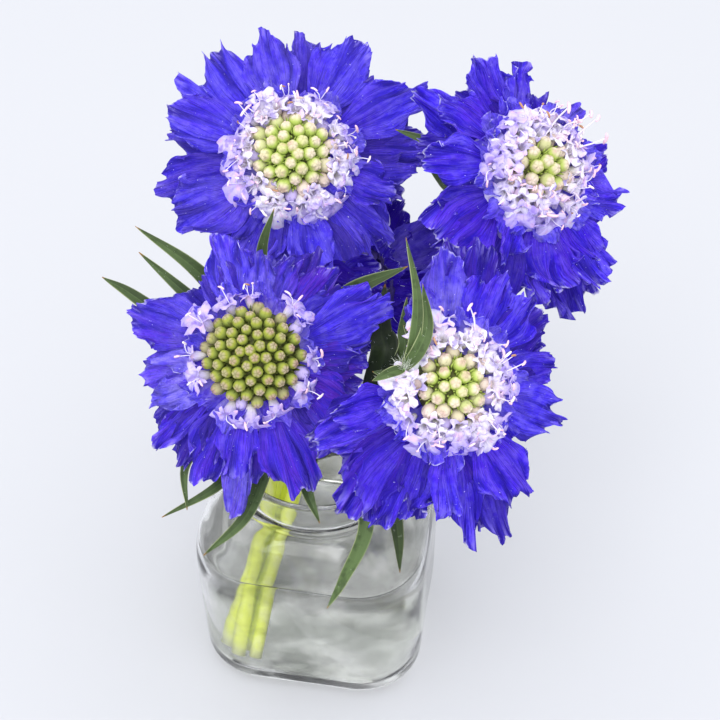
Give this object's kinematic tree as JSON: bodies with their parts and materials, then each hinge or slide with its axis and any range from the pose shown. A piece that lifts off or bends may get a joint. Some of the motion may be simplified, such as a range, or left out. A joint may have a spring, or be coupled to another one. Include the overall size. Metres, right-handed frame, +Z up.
{
  "type": "scabiosa flowers in a glass jar of water",
  "caption": "Cut violet-blue scabiosa flowers with leafy stems standing in a small square glass jar of water.",
  "frame": {"origin": "centre of the jar's foot, on the surface that it stands on", "axes": "+Z up, -Y towards the side that the blooms face, +X to the right as the blooms are seen"},
  "size_m": [0.1471, 0.1239, 0.1709],
  "materials": {
    "glass": "clear polished glass",
    "water": "clear water",
    "ray_petals": "matt, finely veined petal",
    "inner_petals": "matt, finely veined petal",
    "buds": "downy bud",
    "leaves_and_stem": "slightly glossy leaf"
  },
  "bodies": {
    "root": {"jar": "glass", "water": "water", "bloom_a_ray_florets": "ray_petals", "bloom_a_inner_florets": "inner_petals", "bloom_a_buds": "buds", "bloom_a_leafy_stem": "leaves_and_stem", "bloom_b_ray_florets": "ray_petals", "bloom_b_inner_florets": "inner_petals", "bloom_b_buds": "buds", "bloom_b_leafy_stem": "leaves_and_stem", "bloom_c_ray_florets": "ray_petals", "bloom_c_inner_florets": "inner_petals", "bloom_c_buds": "buds", "bloom_c_leafy_stem": "leaves_and_stem", "bloom_d_ray_florets": "ray_petals", "bloom_d_inner_florets": "inner_petals", "bloom_d_buds": "buds", "bloom_d_leafy_stem": "leaves_and_stem", "bloom_e_ray_florets": "ray_petals", "bloom_e_inner_florets": "inner_petals", "bloom_e_buds": "buds", "bloom_e_leafy_stem": "leaves_and_stem"}
  },
  "joints": []
}
